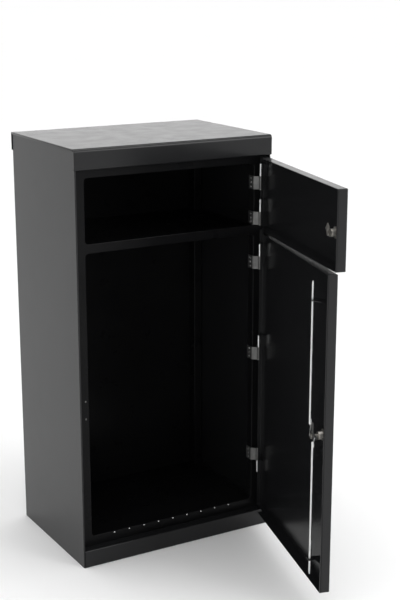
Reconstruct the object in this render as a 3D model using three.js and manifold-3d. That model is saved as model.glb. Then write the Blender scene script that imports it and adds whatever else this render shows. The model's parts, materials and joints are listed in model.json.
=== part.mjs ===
// A free-standing parcel drop box in folded sheet steel: a cabinet with two compartments,
// a small upper door with a cam lock and a tall lower door with a three-point rod lock.
// Millimetres, +Z up. The origin is the centre of the base, the front faces -Y, and
// both doors stand open on their hinges at the right.
import * as THREE from "three";
import { mergeVertices } from "three/addons/utils/BufferGeometryUtils.js";
import Module from "manifold-3d";

const wasm = await Module();
wasm.setup();

// ---- Driving dimensions ----------------------------------------------------
const WIDTH = 514;
const DEPTH = 358;
const HEIGHT = 1000;
const SHEET = 1.2; // panels, doors
const FRAME_SHEET = 1.5; // front frame, cover
const GAP = 0.3; // between pieces that touch

const COVER_OVERHANG = 2; // cover beyond each side panel
const FASCIA_HEIGHT = 48;
const DRIP = { depth: 10, inset: 6 }; // the return under the fascia, clear of the side panels
const REAR_LIP = 43;
const COVER_SIDE = 5; // depth of the cover's side edges
const FRONT_RETURN = 3; // how far the side panels turn in at the front
const REAR_RETURN = 12; // and at the back
const PLINTH_HEIGHT = 42.7;
const RECESS = 26; // frame behind the front plane

const OPENING_LEFT = -222.8;
const OPENING_RIGHT = 226.4;
const UPPER_OPENING = { low: 779.6, high: 929.7 };
const LOWER_OPENING = { low: 66.2, high: 757 };
const CORNER_RADIUS = 8;
const LIP_DEPTH = 2; // rolled edge round each opening
const HINGE_LIP_DEPTH = 20; // deeper return that carries the hinges

const SHELF_TOP = 768;
const SHELF_FOLD = 8; // the shelf's front edge is folded up
const FLOOR_TOP = 52;
const FLOOR_FOLD = 10; // and the floor's is folded down
const BASE_UPSTAND = 20;
const POST = { inner: 233, outer: 254, front: 146, sheet: 1.5 };

const DOOR_DEPTH = 23; // pan depth
const DOOR_LEFT = -250.5; // free edge when closed
const DOOR_WIDTH = 497;
const PAN_WIDTH = 448; // where the deep flanges end, short of the hinges
const HINGE_FLANGE = 8; // depth of the flanges beyond PAN_WIDTH
const HINGE_EDGE = 11; // depth of the flange at the hinge edge
const EDGE_LIP = 3; // inward lip along the free edge
const UPPER_DOOR = { low: 773.3, high: 948.7, angle: 77 };
const LOWER_DOOR = { low: 46.4, high: 769.5, angle: 75 };

const PIN = { x: 236.5, y: -166, radius: 2 };
const PIN_CLEARANCE = 0.09;
const TUBE_RADIUS = 3.3;
const TUBE_LENGTH = 30;
const BRACKET_SHEET = 2.5;
const BRACKET_HEIGHT = 32;
const STRAP = { sheet: 1.5, web: 2, foot: 13 }; // from the door's skin to its hinge tube
const HINGES = [
  { door: "upper", z: 883.5, pinUp: true },
  { door: "upper", z: 797, pinUp: true },
  { door: "lower", z: 687, pinUp: true },
  { door: "lower", z: 455.5, pinUp: true },
  { door: "lower", z: 188.5, pinUp: false },
];

const UPPER_LOCK = { s: 47, z: 848, spindleEnd: 2.7 }; // the spindle's end is a value of w
const LOWER_LOCK = { s: 52, z: 398, spindleEnd: -7.6 };
const HOUSING_RADIUS = 9;
const HOUSING_END = 6; // w of its inner end
const ESCUTCHEON_RADIUS = 12;
const PLUG_RADIUS = 6;
const SPINDLE_RADIUS = 4;
const LOCK_NUT = { flats: 24, sheet: 5 };
const SPINDLE_NUT = { flats: 11, sheet: 3.1 };
// The cam steps back past the frame at the radius `crank`. `base` and `arm` are w values.
const CAM = { reach: 28, width: 12, sheet: 1.8, crank: 11, angle: 40, base: 4.9, arm: -5.4 };
const TONGUE = { reach: 32, width: 9, w: [-7.2, -5.4] };
const CRANK = { radius: 16, bar: 9, w: [-4.7, -2.7], pin: 2.5, hub: 7 }; // radius is the rod pins'

const ROD = { radius: 3, w: -10.5, tip: 7 };
const LINK = { width: 8, overlap: 12, w: [0.8, 2.8] }; // w is measured from the rod's axis
const UPPER_ROD = { s: 57, low: 424, high: 745.4 };
const LOWER_ROD = { s: 38, low: 77.2, high: 391 };
const GUIDE_SHEET = 2;
const UPPER_GUIDE_Z = 703;
const LOWER_GUIDE_Z = 113;

// ---- Planes worked out from the dimensions ---------------------------------
const HALF = WIDTH / 2;
const FRONT = -DEPTH / 2;
const BACK = DEPTH / 2;
const FRAME_FRONT = FRONT + RECESS;
const FRAME_BACK = FRAME_FRONT + FRAME_SHEET;
const COVER_INSIDE = HEIGHT - FRAME_SHEET - GAP; // top of the panels under the cover
const PANEL_FRONT = FRONT + FRAME_SHEET + GAP;
const PANEL_BACK = BACK - FRAME_SHEET - GAP;
const INSIDE_X = HALF - SHEET - GAP;
const SKIN_INNER = DOOR_DEPTH - SHEET;

// ---- Geometry helpers ------------------------------------------------------

// A closed three.js geometry as a manifold-3d solid.
function solid(geometry) {
  const bare = geometry.clone();
  bare.deleteAttribute("normal");
  bare.deleteAttribute("uv");
  const merged = mergeVertices(bare, 1e-4);
  const index = new Uint32Array(merged.index.array);
  const vertices = new Float32Array(merged.attributes.position.array);
  return new wasm.Manifold(
    new wasm.Mesh({ numProp: 3, vertProperties: vertices, triVerts: index }),
  );
}

const fuse = (...pieces) => pieces.reduce((whole, piece) => whole.add(piece));
const cut = (whole, ...tools) => tools.reduce((rest, tool) => rest.subtract(tool), whole);

// An axis-aligned block between two corners.
function block([x0, x1], [y0, y1], [z0, z1]) {
  const geometry = new THREE.BoxGeometry(x1 - x0, y1 - y0, z1 - z0);
  geometry.translate((x0 + x1) / 2, (y0 + y1) / 2, (z0 + z1) / 2);
  return solid(geometry);
}

// A shape drawn in XY, raised from z0 to z1.
function prism(shape, [z0, z1], curveSegments = 8) {
  const options = { depth: z1 - z0, bevelEnabled: false, curveSegments };
  const geometry = new THREE.ExtrudeGeometry(shape, options);
  geometry.translate(0, 0, z0);
  return solid(geometry);
}

// A shape drawn in XZ, running from y0 back to y1.
function frontPrism(shape, [y0, y1], curveSegments = 8) {
  const options = { depth: y1 - y0, bevelEnabled: false, curveSegments };
  const geometry = new THREE.ExtrudeGeometry(shape, options);
  geometry.rotateX(Math.PI / 2); // drawn y becomes z, and the depth runs towards -Y
  geometry.translate(0, y1, 0);
  return solid(geometry);
}

const outline = (points) => new THREE.Shape(points.map(([x, y]) => new THREE.Vector2(x, y)));

// A rectangle with round corners, grown by `grow` on every side.
function roundRectangle([x0, x1], [z0, z1], radius, grow = 0) {
  const r = radius + grow;
  const left = x0 - grow;
  const right = x1 + grow;
  const low = z0 - grow;
  const high = z1 + grow;
  const shape = new THREE.Shape();
  shape.moveTo(left + r, low);
  shape.lineTo(right - r, low);
  shape.absarc(right - r, low + r, r, -Math.PI / 2, 0);
  shape.lineTo(right, high - r);
  shape.absarc(right - r, high - r, r, 0, Math.PI / 2);
  shape.lineTo(left + r, high);
  shape.absarc(left + r, high - r, r, Math.PI / 2, Math.PI);
  shape.lineTo(left, low + r);
  shape.absarc(left + r, low + r, r, Math.PI, 1.5 * Math.PI);
  return shape;
}

// A disc or bar end drawn round (x, y).
function disc(x, y, radius) {
  const shape = new THREE.Shape();
  shape.absarc(x, y, radius, 0, 2 * Math.PI);
  return shape;
}

// ---- Materials -------------------------------------------------------------
const steel = (color, roughness, metalness) => () =>
  new THREE.MeshStandardMaterial({ color, roughness, metalness });
const blackCoat = steel(0x1b1c1e, 0.42, 0.25);
const blackInside = steel(0x151617, 0.5, 0.2);
const plainSteel = steel(0x8a8a88, 0.4, 0.9);
const brightZinc = steel(0xc9cac8, 0.28, 1.0);
const lockZinc = steel(0xa7a39b, 0.33, 1.0);

const box = new THREE.Group();

// Adds a solid to a group as a named mesh of its own material.
function put(group, name, shape, material) {
  const { vertProperties, triVerts } = shape.getMesh();
  const geometry = new THREE.BufferGeometry();
  geometry.setAttribute("position", new THREE.BufferAttribute(vertProperties, 3));
  geometry.setIndex(new THREE.BufferAttribute(triVerts, 1));
  const faceted = geometry.toNonIndexed();
  faceted.computeVertexNormals();
  const mesh = new THREE.Mesh(faceted, material());
  mesh.name = name;
  group.add(mesh);
}

// ---- Cabinet ---------------------------------------------------------------

function topCover() {
  const side = HALF + COVER_OVERHANG;
  const sideInner = HALF + GAP;
  const plate = block([-side, side], [FRONT, BACK], [HEIGHT - FRAME_SHEET, HEIGHT]);
  const fascia = block(
    [-side, side],
    [FRONT, FRONT + FRAME_SHEET],
    [HEIGHT - FASCIA_HEIGHT, HEIGHT],
  );
  const drip = block(
    [-HALF + DRIP.inset, HALF - DRIP.inset],
    [FRONT, FRONT + DRIP.depth],
    [HEIGHT - FASCIA_HEIGHT, HEIGHT - FASCIA_HEIGHT + FRAME_SHEET],
  );
  const rear = block([-side, side], [BACK - FRAME_SHEET, BACK], [HEIGHT - REAR_LIP, HEIGHT]);
  const edge = (x0, x1) => block([x0, x1], [FRONT, BACK], [HEIGHT - COVER_SIDE, HEIGHT]);
  return fuse(plate, fascia, drip, rear, edge(-side, -sideInner), edge(sideInner, side));
}

// One side of the cabinet, folded in at the front and the back. `side` is -1 or 1.
function sidePanel(side) {
  const x = (distance) => side * (HALF - distance);
  const points = [
    [x(0), PANEL_FRONT],
    [x(FRONT_RETURN), PANEL_FRONT],
    [x(FRONT_RETURN), PANEL_FRONT + SHEET],
    [x(SHEET), PANEL_FRONT + SHEET],
    [x(SHEET), PANEL_BACK - SHEET],
    [x(REAR_RETURN), PANEL_BACK - SHEET],
    [x(REAR_RETURN), PANEL_BACK],
    [x(0), PANEL_BACK],
  ];
  return prism(outline(side < 0 ? points : points.reverse()), [0, COVER_INSIDE]);
}

function backPanel() {
  const back = PANEL_BACK - SHEET - GAP;
  return block([-INSIDE_X, INSIDE_X], [back - SHEET, back], [SHEET + GAP, COVER_INSIDE]);
}

function basePan() {
  const back = PANEL_BACK - SHEET - GAP;
  const front = PANEL_FRONT + SHEET + GAP;
  const x = [-INSIDE_X, INSIDE_X];
  const plate = block(x, [front, back], [0, SHEET]);
  const upstand = block(x, [front, front + SHEET], [0, BASE_UPSTAND]);
  return fuse(plate, upstand);
}

function plinth() {
  const x = [-HALF + FRONT_RETURN + GAP, HALF - FRONT_RETURN - GAP];
  const board = block(x, [FRONT, FRONT + FRAME_SHEET], [0, PLINTH_HEIGHT]);
  const ledge = block(x, [FRONT, FRAME_FRONT - GAP], [PLINTH_HEIGHT - FRAME_SHEET, PLINTH_HEIGHT]);
  return fuse(board, ledge);
}

// The rolled lip round one opening: a ring as deep as the hinge return, cut back to
// LIP_DEPTH everywhere but on the hinge side.
function openingLip({ low, high }) {
  const x = [OPENING_LEFT, OPENING_RIGHT];
  const y = [FRAME_FRONT, FRAME_FRONT + HINGE_LIP_DEPTH];
  const outer = frontPrism(roundRectangle(x, [low, high], CORNER_RADIUS, FRAME_SHEET), y);
  const inner = frontPrism(roundRectangle(x, [low, high], CORNER_RADIUS), [y[0] - 1, y[1] + 1]);
  const shorten = block(
    [OPENING_LEFT - 10, OPENING_RIGHT - CORNER_RADIUS],
    [FRAME_FRONT + LIP_DEPTH, y[1] + 1],
    [low - 10, high + 10],
  );
  return cut(outer, inner, shorten);
}

function frontFrame() {
  const x = [OPENING_LEFT, OPENING_RIGHT];
  const z = [PLINTH_HEIGHT + GAP, COVER_INSIDE];
  const plate = block([-INSIDE_X, INSIDE_X], [FRAME_FRONT, FRAME_BACK], z);
  const hole = ({ low, high }) =>
    frontPrism(roundRectangle(x, [low, high], CORNER_RADIUS), [FRAME_FRONT - 1, FRAME_BACK + 1]);
  const pierced = cut(plate, hole(UPPER_OPENING), hole(LOWER_OPENING));
  return fuse(pierced, openingLip(UPPER_OPENING), openingLip(LOWER_OPENING));
}

// A horizontal tray between the sides, notched round the posts. Its front is folded over
// the heights in `fold`.
function tray(top, fold) {
  const x = [-INSIDE_X, INSIDE_X];
  const front = FRAME_BACK + LIP_DEPTH - FRAME_SHEET + GAP;
  const back = PANEL_BACK - 2 * SHEET - 3 * GAP;
  const plate = block(x, [front, back], [top - SHEET, top]);
  const lip = block(x, [front, front + SHEET], fold);
  const notch = (side) => {
    const limits = [side * (POST.inner - GAP), side * (INSIDE_X + 1)].sort((a, b) => a - b);
    return block(limits, [POST.front - GAP, back + 1], [top - SHEET - 1, top + 1]);
  };
  return cut(fuse(plate, lip), notch(-1), notch(1));
}

// A channel up a rear corner, open towards the back panel.
function rearPost(side) {
  const { inner, outer, front, sheet } = POST;
  const back = PANEL_BACK - 2 * SHEET - 3 * GAP;
  const points = [
    [inner, front],
    [outer, front],
    [outer, back],
    [outer - sheet, back],
    [outer - sheet, front + sheet],
    [inner + sheet, front + sheet],
    [inner + sheet, back],
    [inner, back],
  ].map(([x, y]) => [side * x, y]);
  const z = [SHEET + GAP, COVER_INSIDE];
  return prism(outline(side > 0 ? points : points.reverse()), z);
}

put(box, "top_cover", topCover(), blackCoat);
put(box, "left_side_panel", sidePanel(-1), blackCoat);
put(box, "right_side_panel", sidePanel(1), blackCoat);
put(box, "back_panel", backPanel(), blackCoat);
put(box, "base_pan", basePan(), blackCoat);
put(box, "plinth", plinth(), blackCoat);
put(box, "front_frame", frontFrame(), blackInside);
put(box, "shelf", tray(SHELF_TOP, [SHELF_TOP - SHEET, SHELF_TOP + SHELF_FOLD]), blackInside);
put(box, "floor_panel", tray(FLOOR_TOP, [FLOOR_TOP - FLOOR_FOLD, FLOOR_TOP]), blackInside);
put(box, "rear_post_left", rearPost(-1), blackInside);
put(box, "rear_post_right", rearPost(1), blackInside);

// ---- Hinges ----------------------------------------------------------------

// The bracket seen from above: a leaf on the frame's return, and an arm that reaches
// forward to an eye round the pin.
function hingeBracket({ door, z }) {
  const inner = OPENING_RIGHT - 0.5 - BRACKET_SHEET;
  const outer = OPENING_RIGHT - 0.5;
  const bend = FRAME_FRONT - 0.6;
  const along = new THREE.Vector2(PIN.x - inner, PIN.y - bend).normalize();
  const across = new THREE.Vector2(-along.y, along.x).multiplyScalar(BRACKET_SHEET);
  const leafShape = outline([
    [inner, bend],
    [outer, bend + 1],
    [outer, FRAME_FRONT + HINGE_LIP_DEPTH - 1],
    [inner, FRAME_FRONT + HINGE_LIP_DEPTH - 1],
  ]);
  const armShape = outline([
    [inner, bend],
    [PIN.x, PIN.y],
    [PIN.x + across.x, PIN.y + across.y],
    [inner + across.x, bend + across.y],
  ]);
  const height = [z - BRACKET_HEIGHT / 2, z + BRACKET_HEIGHT / 2];
  const eye = prism(disc(PIN.x, PIN.y, TUBE_RADIUS), height, 12);
  const through = [height[0] - 1, height[1] + 1];
  const bore = prism(disc(PIN.x, PIN.y, PIN.radius + PIN_CLEARANCE), through, 12);
  const bentPlate = fuse(prism(leafShape, height), prism(armShape, height));
  const { low, high } = door === "upper" ? UPPER_OPENING : LOWER_OPENING;
  const behind = [FRAME_FRONT - GAP, FRAME_FRONT + HINGE_LIP_DEPTH + 5];
  const opening = roundRectangle([OPENING_LEFT, OPENING_RIGHT], [low, high], CORNER_RADIUS, -GAP);
  const frame = cut(
    block([inner - 10, HALF], behind, [z - BRACKET_HEIGHT, z + BRACKET_HEIGHT]),
    frontPrism(opening, [behind[0] - 1, behind[1] + 1]),
  );
  return cut(fuse(bentPlate, eye), bore, frame);
}

function hingePin({ z, pinUp }) {
  const near = BRACKET_HEIGHT / 2 + 1;
  const far = BRACKET_HEIGHT / 2 + TUBE_LENGTH + 1.5;
  const height = pinUp ? [z - near, z + far] : [z - far, z + near];
  return prism(disc(PIN.x, PIN.y, PIN.radius), height, 12);
}

// Where the door's tube sits: beyond the end of the bracket that the pin stands out of.
function tubeSpan({ z, pinUp }) {
  const near = BRACKET_HEIGHT / 2 + 0.5;
  const far = near + TUBE_LENGTH;
  return pinUp ? [z + near, z + far] : [z - far, z - near];
}

function hingeTube(hinge) {
  const [low, high] = tubeSpan(hinge);
  const barrel = prism(disc(PIN.x, PIN.y, TUBE_RADIUS), [low, high], 12);
  const bore = prism(disc(PIN.x, PIN.y, PIN.radius + PIN_CLEARANCE), [low - 1, high + 1], 12);
  return cut(barrel, bore);
}

// Doors are drawn closed: s runs from the free edge to the hinges, w from the plane of
// the flange edges out to the skin.
const doorX = (s) => DOOR_LEFT + s;
const doorY = (w) => FRONT + DOOR_DEPTH - w;
const doorBlock = ([s0, s1], [w0, w1], z) =>
  block([doorX(s0), doorX(s1)], [doorY(w1), doorY(w0)], z);

// A shape drawn in XZ, as thick as the range of w.
const doorPlate = (shape, [w0, w1]) => frontPrism(shape, [doorY(w1), doorY(w0)], 10);

// A strap from the door's skin to its hinge tube.
function hingeSaddle(hinge) {
  const pinS = PIN.x - DOOR_LEFT;
  const pinW = DOOR_DEPTH + FRONT - PIN.y;
  const z = tubeSpan(hinge);
  const top = SKIN_INNER - GAP;
  const end = pinS + STRAP.web / 2;
  const web = doorBlock([end - STRAP.web, end], [pinW + TUBE_RADIUS + GAP, top], z);
  const foot = doorBlock([end - STRAP.foot, end], [top - STRAP.sheet, top], z);
  return fuse(web, foot);
}

// ---- Doors -----------------------------------------------------------------

function doorPan({ low, high }, lock) {
  const z = [low, high];
  const skin = doorBlock([0, DOOR_WIDTH], [SKIN_INNER, DOOR_DEPTH], z);
  const freeEdge = doorBlock([0, SHEET], [0, DOOR_DEPTH], z);
  const edgeLip = doorBlock([0, EDGE_LIP], [0, SHEET], z);
  const hingeEdgeW = [DOOR_DEPTH - HINGE_EDGE, DOOR_DEPTH];
  const hingeEdge = doorBlock([DOOR_WIDTH - SHEET, DOOR_WIDTH], hingeEdgeW, z);
  const flange = (zs) =>
    fuse(
      doorBlock([0, PAN_WIDTH], [0, DOOR_DEPTH], zs),
      doorBlock([PAN_WIDTH - 1, DOOR_WIDTH], [DOOR_DEPTH - HINGE_FLANGE, DOOR_DEPTH], zs),
    );
  const bottom = flange([low, low + SHEET]);
  const top = flange([high - SHEET, high]);
  const pan = fuse(skin, freeEdge, edgeLip, hingeEdge, bottom, top);
  const lockHole = disc(doorX(lock.s), lock.z, HOUSING_RADIUS + GAP);
  return cut(pan, frontPrism(lockHole, [FRONT - 1, doorY(SKIN_INNER) + 1], 12));
}

// A turned piece on a lock's axis. Each point of the profile is [radius, w].
function turned(lock, profile, segments = 24) {
  const points = profile.map(([r, w]) => new THREE.Vector2(r, doorY(w)));
  const geometry = new THREE.LatheGeometry(points, segments);
  geometry.translate(doorX(lock.s), 0, lock.z);
  return solid(geometry);
}

function lockHousing(lock) {
  const face = DOOR_DEPTH + GAP;
  const body = turned(lock, [
    [0, face + 2],
    [ESCUTCHEON_RADIUS - 1, face + 2],
    [ESCUTCHEON_RADIUS, face + 1],
    [ESCUTCHEON_RADIUS, face],
    [HOUSING_RADIUS, face],
    [HOUSING_RADIUS, HOUSING_END],
    [0, HOUSING_END],
  ]);
  const bore = disc(doorX(lock.s), lock.z, PLUG_RADIUS + GAP);
  return cut(body, doorPlate(bore, [HOUSING_END - 2, face + 4]));
}

function hexagon(x, z, flats) {
  const radius = flats / Math.sqrt(3);
  const points = [];
  for (let i = 0; i < 6; i += 1) {
    const angle = (i * Math.PI) / 3;
    points.push([x + radius * Math.cos(angle), z + radius * Math.sin(angle)]);
  }
  return outline(points);
}

function lockNut(lock) {
  const x = doorX(lock.s);
  const top = SKIN_INNER - GAP;
  const body = doorPlate(hexagon(x, lock.z, LOCK_NUT.flats), [top - LOCK_NUT.sheet, top]);
  const bore = doorPlate(disc(x, lock.z, HOUSING_RADIUS + GAP), [SKIN_INNER - 7, SKIN_INNER]);
  return cut(body, bore);
}

// The plug turns in the housing and carries a thinner spindle for the cam. Its face has
// a key slot.
function lockPlug(lock) {
  const face = DOOR_DEPTH + GAP + 2;
  const body = turned(lock, [
    [0, face],
    [PLUG_RADIUS, face],
    [PLUG_RADIUS, HOUSING_END - 0.2],
    [SPINDLE_RADIUS, HOUSING_END - 0.2],
    [SPINDLE_RADIUS, lock.spindleEnd],
    [0, lock.spindleEnd],
  ]);
  const x = doorX(lock.s);
  const slot = block([x - 0.8, x + 0.8], [doorY(face) - 1, doorY(face - 4)], [lock.z - 4, lock.z + 4]);
  return cut(body, slot);
}

// A flat arm with a round tip, pointing up from the lock's axis.
function armShape(x, z, reach, width) {
  const r = width / 2;
  const shape = new THREE.Shape();
  shape.moveTo(x + r, z);
  shape.lineTo(x + r, z + reach - r);
  shape.absarc(x, z + reach - r, r, 0, Math.PI);
  shape.lineTo(x - r, z);
  shape.lineTo(x + r, z);
  return shape;
}

// The upper lock's cam, drawn round its axis and pointing up: a base on the spindle, a
// step back past the frame, and an arm that goes behind it.
function lockCam() {
  const { reach, width, sheet, crank } = CAM;
  const x = [-width / 2, width / 2];
  const near = [doorY(CAM.base), doorY(CAM.base) + sheet];
  const far = [doorY(CAM.arm), doorY(CAM.arm) + sheet];
  const base = block(x, near, [-width / 2, crank]);
  const step = block(x, [near[0], far[1]], [crank - sheet, crank]);
  const arm = block(x, far, [crank - sheet, reach]);
  const bore = doorPlate(disc(0, 0, SPINDLE_RADIUS + GAP), [2, 6]);
  return cut(fuse(base, step, arm), bore);
}

// The lower lock's rotor: a crank bar with a pin at each end for the rods, a hub, and a
// tongue that goes behind the frame.
function lockRotor(lock) {
  const x = doorX(lock.s);
  const reach = CRANK.radius + 4;
  const half = CRANK.bar / 2;
  const barShape = roundRectangle([x - reach, x + reach], [lock.z - half, lock.z + half], 4);
  const bar = doorPlate(barShape, CRANK.w);
  const hub = doorPlate(disc(x, lock.z, CRANK.hub), [TONGUE.w[0], CRANK.w[1]]);
  const tongue = doorPlate(armShape(x, lock.z, TONGUE.reach, TONGUE.width), TONGUE.w);
  const pin = (side) => doorPlate(disc(x + side * CRANK.radius, lock.z, CRANK.pin), [-7, -4]);
  const bore = doorPlate(disc(x, lock.z, SPINDLE_RADIUS + GAP), [-9, -1]);
  return cut(fuse(bar, hub, tongue, pin(-1), pin(1)), bore);
}

function spindleNut(lock) {
  const end = lock.spindleEnd - GAP;
  const shape = hexagon(doorX(lock.s), lock.z, SPINDLE_NUT.flats);
  return doorPlate(shape, [end - SPINDLE_NUT.sheet, end]);
}

// A round rod with a pointed end, and a flat link plate that runs to its crank pin.
function lockRod(lock, rod, side) {
  const x = doorX(rod.s);
  const y = doorY(ROD.w);
  const outer = side > 0 ? rod.high : rod.low;
  const inner = side > 0 ? rod.low : rod.high;
  const profile = [
    [0, outer],
    [1.2, outer],
    [ROD.radius, outer - side * ROD.tip],
    [ROD.radius, inner],
    [0, inner],
  ];
  const points = (side > 0 ? profile.reverse() : profile).map(([r, z]) => new THREE.Vector2(r, z));
  const round = new THREE.LatheGeometry(points, 16);
  round.rotateX(Math.PI / 2);
  round.translate(x, y, 0);
  const crankX = doorX(lock.s + side * CRANK.radius);
  const start = inner + side * LINK.overlap;
  const half = LINK.width / 2;
  const link = outline([
    [x - half, start],
    [x - half, inner],
    [crankX - half, lock.z - side * half],
    [crankX + half, lock.z - side * half],
    [x + half, inner],
    [x + half, start],
  ]);
  const plate = doorPlate(link, [ROD.w + LINK.w[0], ROD.w + LINK.w[1]]);
  return fuse(solid(round), plate);
}

// A level plate from the pan's free edge round to the rod, with a hole that guides it.
function rodGuide(rod, z) {
  const pointsSW = [
    [SHEET + GAP, SKIN_INNER - GAP],
    [SHEET + GAP, SHEET + GAP],
    [EDGE_LIP + 2, SHEET + GAP],
    [31, -2],
    [rod.s - 9, ROD.w - 6],
    [rod.s + 9, ROD.w - 6],
    [rod.s + 9, ROD.w + 7],
    [46, SKIN_INNER - GAP],
  ];
  const plan = outline(pointsSW.map(([s, w]) => [doorX(s), doorY(w)]));
  const plate = prism(plan, [z, z + GUIDE_SHEET]);
  const top = SKIN_INNER - GAP;
  const foot = doorBlock([14, 46], [top - GUIDE_SHEET, top], [z - 12, z + 1]);
  const hole = disc(doorX(rod.s), doorY(ROD.w), ROD.radius + 0.5);
  return cut(fuse(plate, foot), prism(hole, [z - 1, z + GUIDE_SHEET + 1], 12));
}

// A group whose children are drawn in the closed pose and swung open about the pins.
function hungDoor({ angle }) {
  const swing = new THREE.Group();
  swing.position.set(PIN.x, PIN.y, 0);
  swing.rotation.z = THREE.MathUtils.degToRad(angle);
  const closed = new THREE.Group();
  closed.position.set(-PIN.x, -PIN.y, 0);
  swing.add(closed);
  box.add(swing);
  return closed;
}

const doors = { upper: hungDoor(UPPER_DOOR), lower: hungDoor(LOWER_DOOR) };

HINGES.forEach((hinge, i) => {
  const number = i + 1;
  put(box, `hinge_bracket_${number}`, hingeBracket(hinge), plainSteel);
  put(box, `hinge_pin_${number}`, hingePin(hinge), brightZinc);
  put(doors[hinge.door], `hinge_tube_${number}`, hingeTube(hinge), brightZinc);
  put(doors[hinge.door], `hinge_saddle_${number}`, hingeSaddle(hinge), blackCoat);
});

put(doors.upper, "upper_door_pan", doorPan(UPPER_DOOR, UPPER_LOCK), blackCoat);
put(doors.upper, "upper_lock_housing", lockHousing(UPPER_LOCK), lockZinc);
put(doors.upper, "upper_lock_nut", lockNut(UPPER_LOCK), lockZinc);
put(doors.upper, "upper_lock_plug", lockPlug(UPPER_LOCK), lockZinc);
const camAxis = new THREE.Group();
camAxis.position.set(doorX(UPPER_LOCK.s), 0, UPPER_LOCK.z);
camAxis.rotation.y = -THREE.MathUtils.degToRad(CAM.angle);
doors.upper.add(camAxis);
put(camAxis, "upper_lock_cam", lockCam(), lockZinc);
put(doors.upper, "upper_cam_nut", spindleNut(UPPER_LOCK), lockZinc);

put(doors.lower, "lower_door_pan", doorPan(LOWER_DOOR, LOWER_LOCK), blackCoat);
put(doors.lower, "lower_lock_housing", lockHousing(LOWER_LOCK), lockZinc);
put(doors.lower, "lower_lock_nut", lockNut(LOWER_LOCK), lockZinc);
put(doors.lower, "lower_lock_plug", lockPlug(LOWER_LOCK), lockZinc);
put(doors.lower, "lower_lock_rotor", lockRotor(LOWER_LOCK), plainSteel);
put(doors.lower, "lower_rotor_nut", spindleNut(LOWER_LOCK), lockZinc);
put(doors.lower, "upper_rod", lockRod(LOWER_LOCK, UPPER_ROD, 1), brightZinc);
put(doors.lower, "lower_rod", lockRod(LOWER_LOCK, LOWER_ROD, -1), brightZinc);
put(doors.lower, "upper_rod_guide", rodGuide(UPPER_ROD, UPPER_GUIDE_Z), blackCoat);
put(doors.lower, "lower_rod_guide", rodGuide(LOWER_ROD, LOWER_GUIDE_Z), blackCoat);

export default box;
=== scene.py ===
# %% [markdown]
# # A parcel drop box in black powder-coated sheet steel
#
# The cabinet, its two open doors, the hinges and the locks were designed elsewhere as plain
# solids on moving bodies. This lesson loads that frame and gives each piece its real surface:
# folds with a radius, rolled lips, turned pins, pressed nuts, and paint and zinc that catch the
# light. Places come from the box of the part that each piece stands for, so the two agree.

# %% Load the frame
import json
import math

import bpy
import numpy as np
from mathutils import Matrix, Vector


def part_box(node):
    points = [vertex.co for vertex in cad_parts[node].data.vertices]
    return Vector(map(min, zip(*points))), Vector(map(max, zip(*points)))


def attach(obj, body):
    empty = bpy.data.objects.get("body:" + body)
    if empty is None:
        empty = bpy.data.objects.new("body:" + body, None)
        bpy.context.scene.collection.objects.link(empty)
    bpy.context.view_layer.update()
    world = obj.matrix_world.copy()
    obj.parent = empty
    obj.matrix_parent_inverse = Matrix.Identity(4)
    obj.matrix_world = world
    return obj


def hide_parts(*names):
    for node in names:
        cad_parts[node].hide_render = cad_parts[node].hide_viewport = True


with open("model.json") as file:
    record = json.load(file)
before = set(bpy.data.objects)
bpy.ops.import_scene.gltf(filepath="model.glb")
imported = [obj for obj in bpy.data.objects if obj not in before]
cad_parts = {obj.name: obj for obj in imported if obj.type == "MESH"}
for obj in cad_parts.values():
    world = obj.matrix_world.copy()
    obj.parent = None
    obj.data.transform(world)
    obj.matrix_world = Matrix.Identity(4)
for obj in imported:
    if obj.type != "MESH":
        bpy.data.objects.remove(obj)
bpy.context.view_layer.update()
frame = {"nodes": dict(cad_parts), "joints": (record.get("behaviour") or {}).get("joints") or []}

MM = 0.001  # lengths below are millimetres, and a mesh is in metres

# %% [markdown]
# ## Camera
#
# The camera stands to the left of the box and looks down a little with a long lens, as in a
# catalogue picture. It is set by its place, its heading and its tilt.

# %% Camera
camera = bpy.data.objects.new("camera", bpy.data.cameras.new("camera"))
camera.data.lens = 76.5
camera.data.clip_end = 200
camera.location = (-1.419, -2.711, 1.388)
camera.rotation_euler = (math.radians(90 - 14.69), 0, math.radians(-30.30))
bpy.context.scene.collection.objects.link(camera)
bpy.context.scene.camera = camera
print("camera at", tuple(round(c, 3) for c in camera.location))

# %% [markdown]
# ## A shell from rings
#
# Every piece is a stack of rings. Ring k is a closed loop of N points, and a face joins points i
# and i+1 of ring k to the same points of ring k+1. A piece ends in two flat caps, or its last
# ring joins its first one. The signed volume, the sum of a . (b x c) / 6 over its triangles,
# says if the faces look out, and if they don't they are all turned over. That is safer than
# thinking about the winding of every profile.

# %% Rings to a shell
def ring_faces(count, points, wrap):
    """Quads with corners k*N + i, k*N + i+1, (k+1)*N + i+1 and (k+1)*N + i."""
    index = np.arange(count * points).reshape(count, points)
    if wrap:
        index = np.vstack([index, index[:1]])
    near, far = index[:-1], index[1:]
    corners = [near, np.roll(near, -1, 1), np.roll(far, -1, 1), far]
    return np.stack(corners, -1).reshape(-1, 4)


def signed_volume(points, polygons):
    """Sum over fan triangles of a . (b x c) / 6, for polygons with one number of corners."""
    a = points[polygons[:, :1]]
    b = points[polygons[:, 1:-1]]
    c = points[polygons[:, 2:]]
    return float((a * np.cross(b, c)).sum() / 6)


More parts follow.
